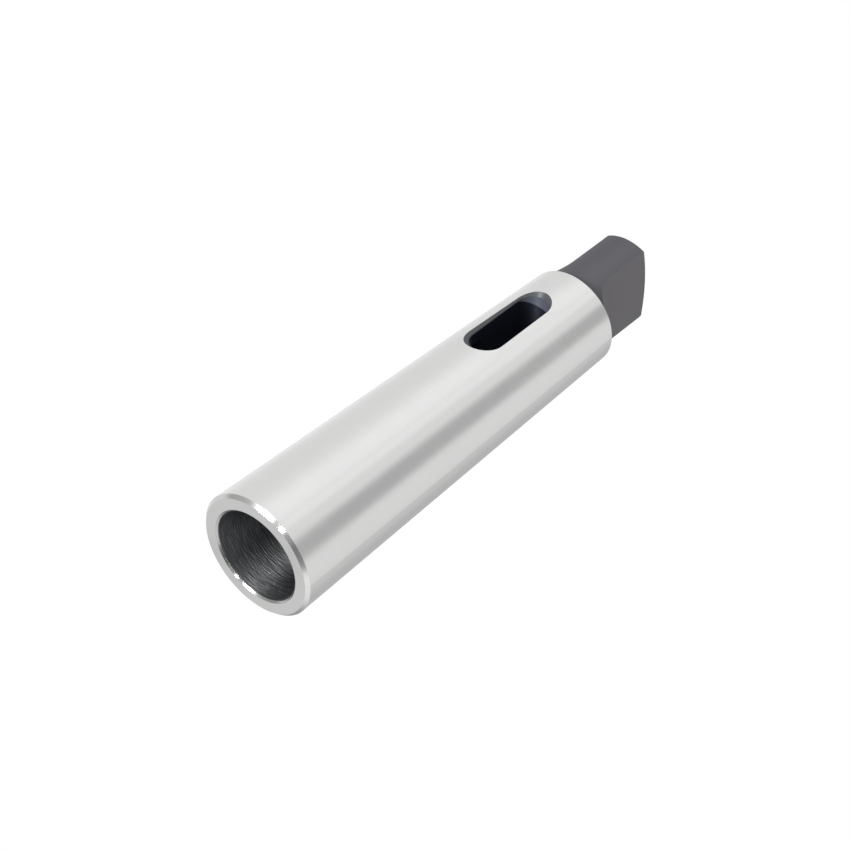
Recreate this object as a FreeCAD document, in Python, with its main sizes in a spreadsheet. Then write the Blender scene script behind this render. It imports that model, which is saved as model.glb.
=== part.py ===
import FreeCAD, Part
import os

import Sketcher

# A Morse taper reduction sleeve, turned, milled and ground from one piece of steel: a number 4
# taper outside, a number 3 socket inside, and a flat tang at the small end.
#
# The sleeve stands on its mouth. The origin is the centre of the mouth face, +Z runs along the
# axis to the tang, the drift slot goes through along Y, and the tang's two flats face X.
# Lengths are in millimetres, and a taper is the length over which the diameter changes by 1 mm.

SIZES = {
    "overall_length": 140.0,        # mouth face to tang end
    "gauge_diameter": 31.267,       # outer taper at its gauge line
    "gauge_line_height": 22.5,      # gauge line above the mouth face
    "outer_taper": 19.254,
    "mouth_chamfer": 0.85,          # outer edge of the mouth
    "shoulder_step": 1.45,          # from the taper's small end in to the tang, on the radius
    "small_end_break": 0.25,        # edge of the shoulder at the small end
    "socket_diameter": 23.825,      # inner taper at the mouth
    "socket_taper": 19.922,
    "socket_chamfer": 0.5,          # inner edge of the mouth
    "relief_diameter": 20.2,        # straight bore below the inner taper
    "bore_depth": 85.0,             # mouth face to the end of the straight bore
    "drill_point_angle": 118.0,     # whole angle of the bore's conical bottom
    "slot_start": 78.0,             # mouth face to the near end of the drift slot
    "slot_length": 26.4,
    "slot_width": 8.5,
    "slot_bevel_depth": 1.45,       # below the top of the round body at the slot's middle
    "slot_bevel_angle": 45.0,       # lean of the bevel from the slot's walls
    "tang_thickness": 11.2,         # across the two flats
    "flat_length": 16.0,            # tang end to the start of the cutter's radius
    "cutter_radius": 8.0,           # of the cutter that milled the flats
    "tang_end_flat": 11.0,          # diameter of the flat middle of the tang's end
    "tang_crown_radius": 50.0,      # of the dome from there to the tang's side
    "tang_end_break": 0.3,          # edge between the dome and the tang's side
    "centre_diameter": 6.7,         # lathe centre in the tang end
    "centre_pilot_diameter": 3.15,
    "centre_pilot_depth": 7.0,      # tang end to the end of the pilot's straight wall
    "centre_angle": 60.0,           # whole angle of the centre's cone
}

# Sizes that follow from those above.
OVERALL = "Sizes.overall_length"
MOUTH_RADIUS = "(Sizes.gauge_diameter + Sizes.gauge_line_height / Sizes.outer_taper) / 2"
TANG_LENGTH = "(Sizes.flat_length + Sizes.cutter_radius)"
SMALL_END = f"({OVERALL} - {TANG_LENGTH})"
SMALL_END_RADIUS = f"({MOUTH_RADIUS} - {SMALL_END} / Sizes.outer_taper / 2)"
TANG_RADIUS = f"({SMALL_END_RADIUS} - Sizes.shoulder_step)"
END_FLAT_RADIUS = "(Sizes.tang_end_flat / 2)"
CROWN_CENTRE = f"({OVERALL} - sqrt(Sizes.tang_crown_radius ^ 2 - {END_FLAT_RADIUS} ^ 2))"
TANG_RIM_RADIUS = f"({TANG_RADIUS} - Sizes.tang_end_break)"
TANG_RIM = f"({CROWN_CENTRE} + sqrt(Sizes.tang_crown_radius ^ 2 - {TANG_RIM_RADIUS} ^ 2))"
RELIEF_RADIUS = "Sizes.relief_diameter / 2"
RELIEF_START = "(Sizes.socket_diameter - Sizes.relief_diameter) * Sizes.socket_taper"
BORE_TIP = f"Sizes.bore_depth + {RELIEF_RADIUS} / tan(Sizes.drill_point_angle / 2 * 1 deg)"
SLOT_MIDDLE = "(Sizes.slot_start + Sizes.slot_length / 2)"
BEVEL_SEAT = f"{MOUTH_RADIUS} - {SLOT_MIDDLE} / Sizes.outer_taper / 2 - Sizes.slot_bevel_depth"
FLAT_DISTANCE = "Sizes.tang_thickness / 2"
FLAT_START = f"({OVERALL} - Sizes.flat_length)"
CUTTER_CENTRE = f"({FLAT_DISTANCE} + Sizes.cutter_radius)"
PILOT_RADIUS = "Sizes.centre_pilot_diameter / 2"
CENTRE_CONE = "(Sizes.centre_diameter / 2 - Sizes.centre_pilot_diameter / 2)"
PILOT_START = f"{OVERALL} - {CENTRE_CONE} / tan(Sizes.centre_angle / 2 * 1 deg)"
PILOT_END = f"({OVERALL} - Sizes.centre_pilot_depth)"
PILOT_TIP = f"{PILOT_END} - {PILOT_RADIUS} / tan(Sizes.drill_point_angle / 2 * 1 deg)"

# How near two heights are when they count as the same.
TOLERANCE = 1e-6

# Sketcher's numbers for its own axes, its origin and the ends and centre of a curve.
VERTICAL_AXIS, HORIZONTAL_AXIS = range(-2, 0)
START, END, CENTRE = range(1, 4)


def make_sheet(doc):
    """Put every size into a spreadsheet cell that carries the size's name."""
    sheet = doc.addObject("Spreadsheet::Sheet", "Sizes")
    for row, (name, value) in enumerate(SIZES.items(), start=1):
        sheet.set(f"A{row}", name)
        sheet.set(f"B{row}", str(value))
        sheet.setAlias(f"B{row}", name)
    doc.recompute()


def origin_plane(body, role):
    """One of the body's own origin planes, such as XZ_Plane."""
    return next(item for item in body.Origin.OriginFeatures if item.Role == role)


def new_sketch(body, name):
    """A sketch on the body's XZ plane: its x is the radius and its y the height."""
    sketch = body.newObject("Sketcher::SketchObject", name)
    sketch.AttachmentSupport = (origin_plane(body, "XZ_Plane"), [""])
    sketch.MapMode = "FlatFace"
    return sketch


def point(sketch, radius, height):
    """The sketch point that two formulas give."""
    x = sketch.evalExpression(radius)
    y = sketch.evalExpression(height)
    return FreeCAD.Vector(getattr(x, "Value", x), getattr(y, "Value", y), 0)


def dimension(sketch, kind, name, formula, line, end):
    """Hold one end of a line at a distance from the sketch's origin, bound to a formula."""
    spot = sketch.getPoint(line, end)
    distance = spot.x if kind == "DistanceX" else spot.y
    index = sketch.addConstraint(
        Sketcher.Constraint(kind, HORIZONTAL_AXIS, START, line, end, distance)
    )
    sketch.renameConstraint(index, name)
    sketch.setExpression(f"Constraints.{name}", formula)


def crown_arc(start, end, centre_height):
    """The arc between two sketch points round a point of the axis."""
    centre = FreeCAD.Vector(0, centre_height, 0)
    middle = (start + end - centre * 2).normalize() * (end - centre).Length
    return Part.Arc(start, centre + middle, end)


def turned_outline(sketch, corners, crowns):
    """Close a turned outline on the axis through named corners, each a radius and a height.

    The outline leaves the axis level with its first corner and comes back level with its last,
    or ends there if that corner's radius is "0". A height or radius shared by two neighbours
    is dimensioned once, and the line between them is level or upright. A corner named in the
    crowns starts an arc to the next one, round the point of the axis at the crown's height.
    """
    first_height = corners[0][2]
    last_height = corners[-1][2]
    stations = [("axis_start", "0", first_height), *corners]
    if corners[-1][1] != "0":
        stations.append(("axis_end", "0", last_height))
    spots = [point(sketch, radius, height) for _, radius, height in stations]
    count = len(spots)
    for i, (name, _, _) in enumerate(stations):
        next_spot = spots[(i + 1) % count]
        line = Part.LineSegment(spots[i], next_spot)
        if name in crowns:
            line = crown_arc(spots[i], next_spot, point(sketch, "0", crowns[name]).y)
        sketch.addGeometry(line, False)
    for i in range(count):
        sketch.addConstraint(Sketcher.Constraint("Coincident", i, END, (i + 1) % count, START))
    for i, (name, radius, height) in enumerate(stations):
        same_radius = i > 0 and stations[i - 1][1] == radius
        same_height = i > 0 and stations[i - 1][2] == height
        if radius == "0":
            sketch.addConstraint(Sketcher.Constraint("PointOnObject", i, START, VERTICAL_AXIS))
        elif same_radius:
            sketch.addConstraint(Sketcher.Constraint("Vertical", i - 1))
        else:
            dimension(sketch, "DistanceX", f"{name}_radius", radius, i, START)
        if name in crowns:
            sketch.addConstraint(Sketcher.Constraint("PointOnObject", i, CENTRE, VERTICAL_AXIS))
            dimension(sketch, "DistanceY", f"{name}_centre", crowns[name], i, CENTRE)
        elif height == "0" and not same_height:
            sketch.addConstraint(Sketcher.Constraint("PointOnObject", i, START, HORIZONTAL_AXIS))
        elif same_height:
            sketch.addConstraint(Sketcher.Constraint("Horizontal", i - 1))
        else:
            dimension(sketch, "DistanceY", f"{name}_height", height, i, START)


def slot_outline(sketch):
    """Draw the slot: two upright walls joined by two half rounds, centred on the axis."""
    half_width = "Sizes.slot_width / 2"
    low = f"Sizes.slot_start + {half_width}"
    high = f"Sizes.slot_start + Sizes.slot_length - {half_width}"
    right_low = point(sketch, half_width, low)
    right_high = point(sketch, half_width, high)
    left_low = point(sketch, f"-({half_width})", low)
    left_high = point(sketch, f"-({half_width})", high)
    top = point(sketch, "0", "Sizes.slot_start + Sizes.slot_length")
    foot = point(sketch, "0", "Sizes.slot_start")
    right, over, left, under = range(4)
    sketch.addGeometry(Part.LineSegment(right_low, right_high), False)
    sketch.addGeometry(Part.Arc(right_high, top, left_high), False)
    sketch.addGeometry(Part.LineSegment(left_high, left_low), False)
    sketch.addGeometry(Part.Arc(left_low, foot, right_low), False)
    for line, line_end, arc, arc_end in (
        (right, END, over, START),
        (left, START, over, END),
        (left, END, under, START),
        (right, START, under, END),
    ):
        sketch.addConstraint(Sketcher.Constraint("Tangent", line, line_end, arc, arc_end))
    sketch.addConstraint(Sketcher.Constraint("Vertical", right))
    for arc in (over, under):
        sketch.addConstraint(Sketcher.Constraint("PointOnObject", arc, CENTRE, VERTICAL_AXIS))
    dimension(sketch, "DistanceX", "half_width", half_width, right, START)
    dimension(sketch, "DistanceY", "low_centre", low, under, CENTRE)
    dimension(sketch, "DistanceY", "high_centre", high, over, CENTRE)


def flat_outline(sketch):
    """Draw what the cutter removes beside the tang: a flat that runs out in its radius."""
    top = f"{OVERALL} + Sizes.cutter_radius"
    arc_foot = f"{FLAT_START} - Sizes.cutter_radius"
    flat_top = point(sketch, FLAT_DISTANCE, top)
    flat_foot = point(sketch, FLAT_DISTANCE, FLAT_START)
    centre = point(sketch, CUTTER_CENTRE, FLAT_START)
    foot = point(sketch, CUTTER_CENTRE, arc_foot)
    outer_top = point(sketch, CUTTER_CENTRE, top)
    lean = FreeCAD.Vector(-1, -1, 0).normalize() * (centre - foot).Length
    flat, run_out, outside, above = range(4)
    sketch.addGeometry(Part.LineSegment(flat_top, flat_foot), False)
    sketch.addGeometry(Part.Arc(flat_foot, centre + lean, foot), False)
    sketch.addGeometry(Part.LineSegment(foot, outer_top), False)
    sketch.addGeometry(Part.LineSegment(outer_top, flat_top), False)
    sketch.addConstraint(Sketcher.Constraint("Tangent", flat, END, run_out, START))
    sketch.addConstraint(Sketcher.Constraint("Coincident", run_out, END, outside, START))
    sketch.addConstraint(Sketcher.Constraint("Coincident", outside, END, above, START))
    sketch.addConstraint(Sketcher.Constraint("Coincident", above, END, flat, START))
    sketch.addConstraint(Sketcher.Constraint("Vertical", flat))
    sketch.addConstraint(Sketcher.Constraint("Vertical", outside))
    sketch.addConstraint(Sketcher.Constraint("Horizontal", above))
    dimension(sketch, "DistanceX", "flat_distance", FLAT_DISTANCE, flat, END)
    dimension(sketch, "DistanceY", "flat_start", FLAT_START, flat, END)
    dimension(sketch, "DistanceX", "cutter_centre", CUTTER_CENTRE, run_out, END)
    dimension(sketch, "DistanceY", "arc_foot", arc_foot, run_out, END)
    dimension(sketch, "DistanceY", "top", top, outside, END)


def revolve(body, kind, name, corners, crowns=None):
    """Turn an outline round the axis, as new metal or as a bore."""
    sketch = new_sketch(body, f"{name}_outline")
    turned_outline(sketch, corners, crowns or {})
    feature = body.newObject(f"PartDesign::{kind}", name)
    feature.Profile = sketch
    feature.ReferenceAxis = (sketch, ["V_Axis"])
    feature.Angle = 360
    body.Document.recompute()
    return feature


def cut_through(body, name, draw):
    """Mill an outline right through the body along Y."""
    sketch = new_sketch(body, f"{name}_outline")
    draw(sketch)
    pocket = body.newObject("PartDesign::Pocket", name)
    pocket.Profile = sketch
    pocket.Type = "ThroughAll"
    pocket.SideType = "Symmetric"
    body.Document.recompute()
    return pocket


def cut_bevel(body):
    """Lean the slot's walls outwards from a level seat, as a bevel cutter at one depth does.

    The seat is flat and the body is round, so the bevel is wider at the slot's ends.
    """
    sketch = new_sketch(body, "slot_bevel_outline")
    slot_outline(sketch)
    sketch.setExpression("AttachmentOffset.Base.z", BEVEL_SEAT)
    pocket = body.newObject("PartDesign::Pocket", "slot_bevel")
    pocket.Profile = sketch
    pocket.Reversed = True
    pocket.setExpression("Length", TANG_RADIUS)
    pocket.setExpression("TaperAngle", "Sizes.slot_bevel_angle")
    body.Document.recompute()
    return pocket


def mirror(body, feature, role):
    """Repeat a cut on the other side of one of the body's origin planes."""
    mirrored = body.newObject("PartDesign::Mirrored", f"{feature.Name}_opposite")
    mirrored.Originals = [feature]
    mirrored.MirrorPlane = (origin_plane(body, role), [""])
    body.Tip = mirrored
    body.Document.recompute()
    return mirrored


def rim(shape, height, choose):
    """The name of the whole circle at a height that choose, max or min, picks by radius."""
    rims = []
    for number, edge in enumerate(shape.Edges, start=1):
        round_edge = isinstance(edge.Curve, Part.Circle) and edge.isClosed()
        if round_edge and abs(edge.Curve.Center.z - height) < TOLERANCE:
            rims.append((edge.Curve.Radius, f"Edge{number}"))
    return choose(rims)[1]


def chamfer(body, name, base, edge_name):
    """Break one round edge by the size that has the chamfer's name."""
    feature = body.newObject("PartDesign::Chamfer", name)
    feature.Base = (base, [edge_name])
    feature.setExpression("Size", f"Sizes.{name}")
    body.Tip = feature
    body.Document.recompute()
    return feature


def make_sleeve(doc):
    """Turn, bore, slot and mill the sleeve, in the order of the real work."""
    body = doc.addObject("PartDesign::Body", "TaperSleeve")
    body.Label = "taper_sleeve"
    blank = revolve(body, "Revolution", "blank", [
        ("mouth", MOUTH_RADIUS, "0"),
        ("small_end", SMALL_END_RADIUS, SMALL_END),
        ("tang_root", TANG_RADIUS, SMALL_END),
        ("tang_side", TANG_RADIUS, f"{TANG_RIM} - Sizes.tang_end_break"),
        ("tang_rim", TANG_RIM_RADIUS, TANG_RIM),
        ("tang_end", END_FLAT_RADIUS, OVERALL),
    ], {"tang_rim": CROWN_CENTRE})
    shoulder = point(blank.Profile[0], "0", SMALL_END).y
    turned = chamfer(body, "mouth_chamfer", blank, rim(blank.Shape, 0, max))
    turned = chamfer(body, "small_end_break", turned, rim(turned.Shape, shoulder, max))
    revolve(body, "Groove", "centre_hole", [
        ("centre_rim", "Sizes.centre_diameter / 2", OVERALL),
        ("pilot_rim", PILOT_RADIUS, PILOT_START),
        ("pilot_end", PILOT_RADIUS, PILOT_END),
        ("pilot_tip", "0", PILOT_TIP),
    ])
    bore = revolve(body, "Groove", "socket", [
        ("socket_mouth", "Sizes.socket_diameter / 2", "0"),
        ("relief_start", RELIEF_RADIUS, RELIEF_START),
        ("relief_end", RELIEF_RADIUS, "Sizes.bore_depth"),
        ("drill_tip", "0", BORE_TIP),
    ])
    chamfer(body, "socket_chamfer", bore, rim(bore.Shape, 0, min))
    cut_through(body, "drift_slot", slot_outline)
    mirror(body, cut_bevel(body), "XZ_Plane")
    mirror(body, cut_through(body, "tang_flat", flat_outline), "YZ_Plane")
    return body


def check(doc, body):
    """Stop if an object failed, a cut removed nothing or the solid isn't sound."""
    for item in doc.Objects:
        if "Invalid" in item.State or "Error" in item.State:
            raise RuntimeError(f"{item.Name} failed: {item.State}")
    features = [item for item in body.Group if item.isDerivedFrom("PartDesign::Feature")]
    for before, after in zip(features, features[1:]):
        if after.Shape.Volume >= before.Shape.Volume:
            raise RuntimeError(f"{after.Name} removed no metal")
    shape = body.Shape
    if shape.isNull() or not shape.isValid() or len(shape.Solids) != 1:
        raise RuntimeError("the sleeve isn't one sound solid")


def main():
    doc = FreeCAD.newDocument("MorseTaperSleeve")
    make_sheet(doc)
    sleeve = make_sleeve(doc)
    doc.recompute()
    check(doc, sleeve)
    os.makedirs("parts", exist_ok=True)
    sleeve.Shape.exportStep(f"parts/{sleeve.Label}.step")
    box = sleeve.Shape.BoundBox
    print(f"{sleeve.Label}: {box.XLength:.2f} x {box.YLength:.2f} x {box.ZLength:.2f} mm, "
          f"{sleeve.Shape.Volume / 1000:.2f} cm3")


main()
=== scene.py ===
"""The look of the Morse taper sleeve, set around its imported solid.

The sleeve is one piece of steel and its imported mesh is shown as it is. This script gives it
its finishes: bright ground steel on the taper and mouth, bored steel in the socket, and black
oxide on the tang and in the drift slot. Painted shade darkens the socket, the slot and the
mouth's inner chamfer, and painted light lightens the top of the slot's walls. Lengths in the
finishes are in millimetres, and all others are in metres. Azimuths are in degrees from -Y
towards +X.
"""

import math

import bpy
from mathutils import Matrix, Vector


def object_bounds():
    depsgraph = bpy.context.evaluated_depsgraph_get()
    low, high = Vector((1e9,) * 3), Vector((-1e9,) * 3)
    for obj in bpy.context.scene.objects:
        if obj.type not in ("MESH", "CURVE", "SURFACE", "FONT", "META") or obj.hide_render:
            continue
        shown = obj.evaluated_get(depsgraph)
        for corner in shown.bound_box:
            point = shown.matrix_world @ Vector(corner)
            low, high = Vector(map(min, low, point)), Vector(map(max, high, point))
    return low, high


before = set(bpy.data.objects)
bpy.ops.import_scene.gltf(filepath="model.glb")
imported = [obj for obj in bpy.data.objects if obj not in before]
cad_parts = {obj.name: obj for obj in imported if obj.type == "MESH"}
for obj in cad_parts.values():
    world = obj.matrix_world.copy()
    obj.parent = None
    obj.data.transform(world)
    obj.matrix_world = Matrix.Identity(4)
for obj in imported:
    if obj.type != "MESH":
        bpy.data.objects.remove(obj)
CAD_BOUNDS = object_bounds()

NODE = "taper_sleeve"
MILLIMETRES = 1000.0

# The camera looks up at the mouth, rolled so that the sleeve lies across the picture.
CAMERA_AIM = Vector((-0.0002, -0.0006, 0.0593))
CAMERA_AZIMUTH = 38.97
CAMERA_ELEVATION = -35.39
CAMERA_ROLL = 52.78
CAMERA_DISTANCE = 0.570
CAMERA_LENS = 100.7
CAMERA_SENSOR = 36.0
CAMERA_CLIP = (0.01, 20.0)

# Each lamp's azimuth, elevation, distance, size and power, and whether the steel mirrors it.
LAMPS = {
    "key_lamp": (-18, -54, 0.8, 0.19, 5.0, True),
    "spark_lamp": (26, -62, 0.8, 0.03, 0.45, True),
    "faint_lamp": (100, -86, 0.8, 0.06, 0.60, True),
    "top_lamp": (-20, 65, 1.0, 0.7, 2.0, False),
}


def direction(azimuth, elevation):
    """The unit vector that points at an azimuth and an elevation."""
    turn = math.radians(azimuth)
    lift = math.radians(elevation)
    return Vector((
        math.sin(turn) * math.cos(lift),
        -math.cos(turn) * math.cos(lift),
        math.sin(lift),
    ))


def grey(level, warmth=0.0):
    """A grey with red raised and blue lowered by the warmth."""
    return (level * (1 + warmth), level, level * (1 - warmth), 1.0)


class Shader:
    """Short calls for building one node tree."""

    def __init__(self, tree):
        self.tree = tree
        tree.nodes.clear()

    def node(self, kind, inputs=None, **settings):
        """Add a node, with its settings and its inputs by name or number."""
        made = self.tree.nodes.new(kind)
        for name, value in settings.items():
            setattr(made, name, value)
        for name, value in (inputs or {}).items():
            self.feed(made.inputs[name], value)
        return made

    def feed(self, socket, value):
        """Link an output to a socket, or set the socket to a plain value."""
        if isinstance(value, bpy.types.NodeSocket):
            self.tree.links.new(value, socket)
        else:
            socket.default_value = value

    def math(self, operation, *values):
        """The result of a Math node on numbers or outputs."""
        inputs = dict(enumerate(values))
        return self.node("ShaderNodeMath", inputs, operation=operation).outputs[0]

    def both(self, first, second):
        """The overlap of two masks."""
        return self.math("MULTIPLY", first, second)

    def vector(self, operation, *vectors):
        """The number that a Vector Math node finds for vectors."""
        inputs = dict(enumerate(vectors))
        return self.node("ShaderNodeVectorMath", inputs, operation=operation).outputs["Value"]

    def scaled(self, vector, factors):
        """A vector with each of its parts times a factor."""
        inputs = {0: vector, 1: factors}
        return self.node("ShaderNodeVectorMath", inputs, operation="MULTIPLY").outputs[0]

    def ramp(self, value, start, end, low=0.0, high=1.0):
        """A smooth climb from low to high while a value goes from start to end."""
        inputs = {
            "Value": value, "From Min": start, "From Max": end, "To Min": low, "To Max": high
        }
        return self.node(
            "ShaderNodeMapRange", inputs, interpolation_type="SMOOTHSTEP"
        ).outputs["Result"]

    def mix(self, factor, first, second):
        """A number between two others."""
        inputs = {"Factor": factor, 2: first, 3: second}
        return self.node("ShaderNodeMix", inputs, data_type="FLOAT").outputs[0]

    def blend(self, factor, first, second):
        """A colour between two others."""
        inputs = {"Factor": factor, 6: first, 7: second}
        return self.node("ShaderNodeMix", inputs, data_type="RGBA").outputs[2]

    def shade(self, colour, level):
        """A colour times a level."""
        levels = self.node("ShaderNodeCombineXYZ", {0: level, 1: level, 2: level})
        return self.scaled(colour[:3], levels.outputs[0])

    def noise(self, place, scale, detail=2.0, roughness=0.5):
        """Noise from 0 to 1 at a place, in features per unit of it."""
        inputs = {"Vector": place, "Scale": scale, "Detail": detail, "Roughness": roughness}
        return self.node("ShaderNodeTexNoise", inputs, noise_dimensions="3D").outputs["Fac"]


# Where the finishes meet. Heights are from the mouth face and radii from the axis. The bored
# wall starts inside the rim, and the slot's bevel floor is how far from the axis it lies.
SOCKET_RIM_RADIUS = 12.5
SOCKET_START = 0.40
SOCKET_END = 74.0
SLOT_WALLS_END = 112.0
SLOT_BEVEL_FLOOR = 12.4
SMALL_END = 116.0
OVERALL_LENGTH = 140.0

# Surfaces are also told apart by how squarely they face away from the axis: 1 is straight out,
# and 0 is across it. Each finish starts at its first number and is whole at its second, and
# the middle of a tang flat, which faces straight out, is found by radius.
SLOT_SIDES_FACING = (0.95, 0.85)
SLOT_BEVEL_FACING = (0.15, 0.30)
TANG_FLAT_FACING = (0.98, 0.93)
TANG_FLAT_RADII = (11.0, 10.5)

# The lower edge of the painted light band at the top of the slot's walls, a painted shadow
# edge, as a distance from the slot's middle plane: so much at the mouth, less with height, and
# more towards one side.
SHADOW_EDGE_AT_MOUTH = 50.4
SHADOW_EDGE_PER_HEIGHT = -0.396
SHADOW_EDGE_PER_SIDE = 0.284
SHADOW_EDGE_BLUR = 0.15

# Colours, the black ones as the darkest and lightest of their mottling where they have two.
GROUND_STEEL = grey(0.78, 0.004)
# Painted shade: the bored steel is darkened for the shade inside the socket.
BORED_STEEL_AND_SHADE = grey(0.22, -0.03)
TURNED_BLACK = ((0.080, 0.079, 0.090, 1), (0.104, 0.102, 0.115, 1))
MILLED_BLACK = ((0.122, 0.117, 0.124, 1), (0.150, 0.144, 0.152, 1))
# Black oxide in the slot, darkened further as painted shade.
SLOT_BLACK_AND_SHADE = (0.015, 0.019, 0.031, 1)
# Painted light: the lit top of the slot's walls.
PAINTED_LIGHT_BLACK = (0.118, 0.132, 0.170, 1)
BEVEL_BLACK = (0.085, 0.090, 0.096, 1)
# Painted shade: the ground steel on the mouth's inner chamfer is darkened to this share.
RIM_PAINTED_SHADE = 0.72
OXIDE_METALLIC = 0.55
# Painted light: the lit top of the slot's walls is less metallic.
PAINTED_LIGHT_METALLIC = 0.3

# Marks that run round the axis are noise stretched around it: fine and long from grinding,
# coarser from boring. Each has its features per millimetre and its depth.
GROUND_STRETCH = (0.12, 0.12, 9.0)
GROUND_DEPTH = 0.002
BORED_STRETCH = (0.30, 0.30, 3.6)
BORED_DEPTH = 0.20
SMUDGE_SCALE = 0.12
MOTTLING_SCALE = 2.6
MOTTLING_DEPTH = 0.01
NOISE_SPAN = (0.3, 0.7)
SMUDGE_SPAN = (0.35, 0.7)

# How much the marks lighten and darken the steel, and the roughness that they give.
GROUND_TONES = (0.985, 1.015)
BORED_TONES = (0.7, 1.3)
GROUND_ROUGHNESS = (0.21, 0.24)
SMUDGE_ROUGHNESS = (0.0, 0.04)
BORED_ROUGHNESS = 0.40
OXIDE_ROUGHNESS = (0.40, 0.50)
ANISOTROPY = 0.8
QUARTER_TURN = 0.25


def make_steel():
    """The sleeve's whole finish, with its painted light and shade, told apart by place on the
    one solid.
    """
    material = bpy.data.materials.new("sleeve_steel")
    material.use_nodes = True
    s = Shader(material.node_tree)

    coordinates = s.node("ShaderNodeTexCoord").outputs
    place = s.scaled(coordinates["Object"], (MILLIMETRES,) * 3)
    x, y, z = s.node("ShaderNodeSeparateXYZ", {0: place}).outputs
    from_axis = s.scaled(place, (1, 1, 0))
    radius = s.vector("LENGTH", from_axis)
    facing = s.math(
        "DIVIDE", s.vector("DOT_PRODUCT", from_axis, coordinates["Normal"]), radius
    )

    # Where each finish and each painted light or shade is: 1 on it and 0 elsewhere.
    along_slot = s.both(
        s.ramp(z, SOCKET_END, SOCKET_END + 1), s.ramp(z, SLOT_WALLS_END, SLOT_WALLS_END - 1)
    )
    in_slot = s.both(along_slot, s.ramp(facing, *SLOT_SIDES_FACING))
    on_bevel = s.both(in_slot, s.ramp(facing, *SLOT_BEVEL_FACING))
    on_tang = s.ramp(z, SMALL_END - 0.02, SMALL_END + 0.02)
    oxide = s.math("MAXIMUM", in_slot, on_tang)
    within_rim = s.ramp(radius, SOCKET_RIM_RADIUS, SOCKET_RIM_RADIUS - 0.1)
    # Painted shade on the mouth's inner chamfer.
    painted_shade_rim = s.both(within_rim, s.ramp(z, SOCKET_START + 0.2, SOCKET_START + 0.1))
    in_socket = s.both(within_rim, s.both(
        s.ramp(z, SOCKET_START, SOCKET_START + 0.05), s.ramp(z, SOCKET_END + 1, SOCKET_END)
    ))
    milled = s.both(
        s.both(on_tang, s.ramp(z, OVERALL_LENGTH - 0.4, OVERALL_LENGTH - 0.5)),
        s.math(
            "MAXIMUM", s.ramp(facing, *TANG_FLAT_FACING), s.ramp(radius, *TANG_FLAT_RADII)
        ),
    )

    # Painted light: the top of the slot's walls is lightened as if lit, down to a painted
    # shadow edge that reaches deepest at the tang's end.
    reach = s.math("ABSOLUTE", y)
    side = s.math("MULTIPLY", x, s.math("SIGN", y))
    painted_shadow_edge = s.math(
        "MULTIPLY_ADD", z, SHADOW_EDGE_PER_HEIGHT,
        s.math("MULTIPLY_ADD", side, SHADOW_EDGE_PER_SIDE, SHADOW_EDGE_AT_MOUTH),
    )
    painted_light_band = s.both(in_slot, s.math(
        "MAXIMUM",
        s.ramp(reach, SLOT_BEVEL_FLOOR - 0.5, SLOT_BEVEL_FLOOR - 0.2),
        s.ramp(s.math("SUBTRACT", reach, painted_shadow_edge), -SHADOW_EDGE_BLUR, SHADOW_EDGE_BLUR),
    ))

    ground_marks = s.noise(s.scaled(place, GROUND_STRETCH), 1.0, 4.0, 0.65)
    bored_marks = s.noise(s.scaled(place, BORED_STRETCH), 1.0, 2.0, 0.6)
    smudges = s.noise(place, SMUDGE_SCALE, 3.0)
    mottling = s.noise(place, MOTTLING_SCALE, 4.0, 0.6)

    # Ground steel, with painted shade on the mouth's inner chamfer.
    steel = s.shade(GROUND_STEEL, s.both(
        s.ramp(ground_marks, *NOISE_SPAN, *GROUND_TONES), s.mix(painted_shade_rim, 1.0, RIM_PAINTED_SHADE)
    ))
    # Bored steel, darkened as painted shade inside the socket.
    socket = s.shade(BORED_STEEL_AND_SHADE, s.ramp(bored_marks, *NOISE_SPAN, *BORED_TONES))
    black = s.blend(
        milled, s.blend(mottling, *TURNED_BLACK), s.blend(mottling, *MILLED_BLACK)
    )
    # The slot's walls: black oxide, darkened further as painted shade.
    black = s.blend(in_slot, black, SLOT_BLACK_AND_SHADE)
    # Painted light on the top of the slot's walls, down to a painted shadow edge.
    black = s.blend(painted_light_band, black, PAINTED_LIGHT_BLACK)
    black = s.blend(on_bevel, black, BEVEL_BLACK)

    colour = s.blend(oxide, s.blend(in_socket, steel, socket), black)
    # The painted light band in the slot is less metallic.
    metallic = s.mix(oxide, 1.0, s.mix(painted_light_band, OXIDE_METALLIC, PAINTED_LIGHT_METALLIC))
    steel_roughness = s.math(
        "ADD",
        s.ramp(ground_marks, *NOISE_SPAN, *GROUND_ROUGHNESS),
        s.ramp(smudges, *SMUDGE_SPAN, *SMUDGE_ROUGHNESS),
    )
    bare_roughness = s.mix(in_socket, steel_roughness, BORED_ROUGHNESS)
    oxide_roughness = s.ramp(mottling, *NOISE_SPAN, *OXIDE_ROUGHNESS)
    roughness = s.mix(oxide, bare_roughness, oxide_roughness)

    bare_height = s.mix(
        in_socket,
        s.math("MULTIPLY", ground_marks, GROUND_DEPTH),
        s.math("MULTIPLY", bored_marks, BORED_DEPTH),
    )
    height = s.mix(oxide, bare_height, s.math("MULTIPLY", mottling, MOTTLING_DEPTH))
    bump = s.node("ShaderNodeBump", {
        "Strength": 1.0,
        "Distance": 1 / MILLIMETRES,
        "Height": height,
    })

    tangent = s.node("ShaderNodeTangent", direction_type="RADIAL", axis="Z")
    finish = s.node("ShaderNodeBsdfPrincipled", {
        "Base Color": colour,
        "Metallic": metallic,
        "Roughness": roughness,
        "Normal": bump.outputs[0],
        "Tangent": tangent.outputs[0],
        "Anisotropic": ANISOTROPY,
        "Anisotropic Rotation": QUARTER_TURN,
    })
    s.node("ShaderNodeOutputMaterial", {"Surface": finish.outputs[0]})
    return material


# The floor is a square just under the mouth.
FLOOR_GREY = 0.82
FLOOR_HALF_WIDTH = 4.0
FLOOR_HEIGHT = -0.0001


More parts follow.
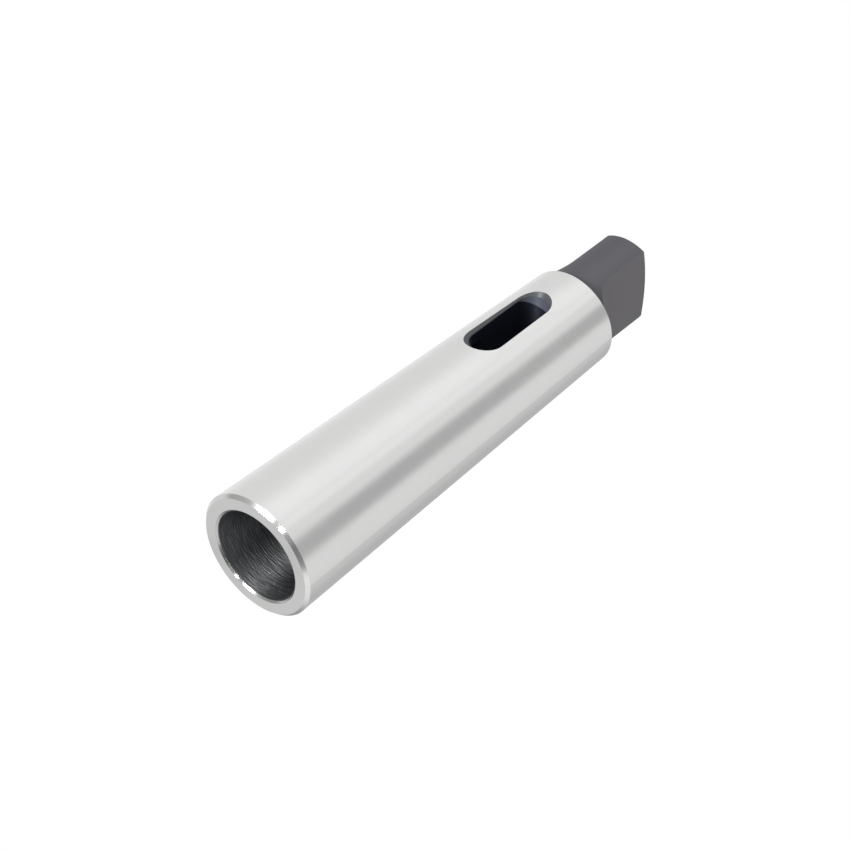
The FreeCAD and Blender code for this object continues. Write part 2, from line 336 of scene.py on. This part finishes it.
def make_floor():
    """A pale floor under the mouth, which the camera sees only from above.

    The camera of the main view is below the floor, and light reaches the mouth from there too.
    """
    material = bpy.data.materials.new("studio_floor")
    material.use_nodes = True
    s = Shader(material.node_tree)
    from_below = s.node("ShaderNodeNewGeometry").outputs["Backfacing"]
    surface = s.node("ShaderNodeMixShader", {
        0: from_below,
        1: s.node("ShaderNodeBsdfDiffuse", {"Color": grey(FLOOR_GREY)}).outputs[0],
        2: s.node("ShaderNodeBsdfTransparent").outputs[0],
    })
    s.node("ShaderNodeOutputMaterial", {"Surface": surface.outputs[0]})

    corners = [
        (x * FLOOR_HALF_WIDTH, y * FLOOR_HALF_WIDTH, FLOOR_HEIGHT)
        for x, y in ((-1, -1), (1, -1), (1, 1), (-1, 1))
    ]
    mesh = bpy.data.meshes.new("studio_floor")
    mesh.from_pydata(corners, [], [(0, 1, 2, 3)])
    mesh.materials.append(material)
    floor = bpy.data.objects.new("studio_floor", mesh)
    bpy.context.scene.collection.objects.link(floor)
    floor.visible_glossy = False
    floor.visible_diffuse = False
    floor.visible_transmission = False
    floor.visible_shadow = False


# The grey cards that the steel mirrors in a white studio, each with how much darker than white
# it is. The stripe below zero is a gap in the one around it. A stripe stands upright at an
# azimuth, and a spot has an elevation too. Each is whole out to its first angle from its middle
# and has gone at its second. Stripes also fade between two heights at the foot and at the head,
# where 1 is straight up.
GREY_STRIPES = (
    (-64, 0, 59, 0.16),
    (28, 1, 9, -0.13),
    (75, 5, 24, 0.36),
    (84, 55, 75, 0.16),
    (187, 0, 55, 0.47),
)
GREY_SPOTS = (
    (-141, -35, 20, 70, 0.30),
    (-66, -30, 12, 32, 0.50),
    (75, -55, 22, 38, 0.60),
    (0, -90, 24, 45, 0.85),
)
STRIPE_FOOT = (-0.3, 0.0)
STRIPE_HEAD = (1.0, 0.75)
DARKEST = 0.04
WHITE = 1.0
SOFT_LEVEL = 0.93


def make_world():
    """A white background, with grey cards that only mirrored rays meet, and soft light."""
    world = bpy.data.worlds.new("studio")
    bpy.context.scene.world = world
    world.use_nodes = True
    s = Shader(world.node_tree)
    heading = s.node("ShaderNodeTexCoord").outputs["Generated"]
    level_heading = s.node(
        "ShaderNodeVectorMath", {0: s.scaled(heading, (1, 1, 0))}, operation="NORMALIZE"
    ).outputs[0]
    height = s.node("ShaderNodeSeparateXYZ", {0: heading}).outputs["Z"]

    def card(view, azimuth, elevation, full, gone, darker):
        nearness = s.vector("DOT_PRODUCT", view, direction(azimuth, elevation))
        edges = [math.cos(math.radians(angle)) for angle in (gone, full)]
        return s.ramp(nearness, *edges, 0.0, darker)

    stripes = 0.0
    for azimuth, *spread in GREY_STRIPES:
        stripes = s.math("ADD", stripes, card(level_heading, azimuth, 0, *spread))
    upright = s.both(s.ramp(height, *STRIPE_FOOT), s.ramp(height, *STRIPE_HEAD))
    cards = s.both(stripes, upright)
    for spot in GREY_SPOTS:
        cards = s.math("ADD", cards, card(heading, *spot))

    rays = s.node("ShaderNodeLightPath").outputs
    mirrored = s.math("MAXIMUM", rays["Is Glossy Ray"], rays["Is Transmission Ray"])
    background = s.math("SUBTRACT", WHITE, s.both(mirrored, cards))
    seen = s.math("MAXIMUM", rays["Is Camera Ray"], mirrored)
    level = s.mix(seen, SOFT_LEVEL, s.math("MAXIMUM", background, DARKEST))
    light = s.node("ShaderNodeBackground", {"Color": grey(WHITE), "Strength": level})
    s.node("ShaderNodeOutputWorld", {"Surface": light.outputs[0]})


def make_lamp(name, azimuth, elevation, distance, size, power, mirrored):
    """A square soft lamp that faces the sleeve's middle, and may stay out of mirror images."""
    middle = (CAD_BOUNDS[0] + CAD_BOUNDS[1]) / 2
    data = bpy.data.lights.new(name, "AREA")
    data.size = size
    data.energy = power
    lamp = bpy.data.objects.new(name, data)
    towards = direction(azimuth, elevation)
    lamp.location = middle + towards * distance
    lamp.rotation_mode = "QUATERNION"
    lamp.rotation_quaternion = towards.to_track_quat("Z", "Y")
    lamp.visible_glossy = mirrored
    bpy.context.scene.collection.objects.link(lamp)


def make_camera():
    """The camera at the photograph's viewing angle."""
    back = direction(CAMERA_AZIMUTH, CAMERA_ELEVATION)
    level_right = Vector((0, 0, 1)).cross(back).normalized()
    level_up = back.cross(level_right)
    roll = math.radians(CAMERA_ROLL)
    right = level_right * math.cos(roll) + level_up * math.sin(roll)
    up = back.cross(right)
    data = bpy.data.cameras.new("camera")
    data.lens = CAMERA_LENS
    data.sensor_width = CAMERA_SENSOR
    data.clip_start, data.clip_end = CAMERA_CLIP
    camera = bpy.data.objects.new("camera", data)
    camera.matrix_world = (
        Matrix.Translation(CAMERA_AIM + back * CAMERA_DISTANCE)
        @ Matrix((right, up, back)).transposed().to_4x4()
    )
    bpy.context.scene.collection.objects.link(camera)
    bpy.context.scene.camera = camera


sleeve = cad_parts[NODE]
for slot in sleeve.material_slots:
    slot.material = make_steel()

make_floor()
make_world()
for lamp_name, lamp_settings in LAMPS.items():
    make_lamp(lamp_name, *lamp_settings)
make_camera()
bpy.context.scene.view_settings.view_transform = "Standard"
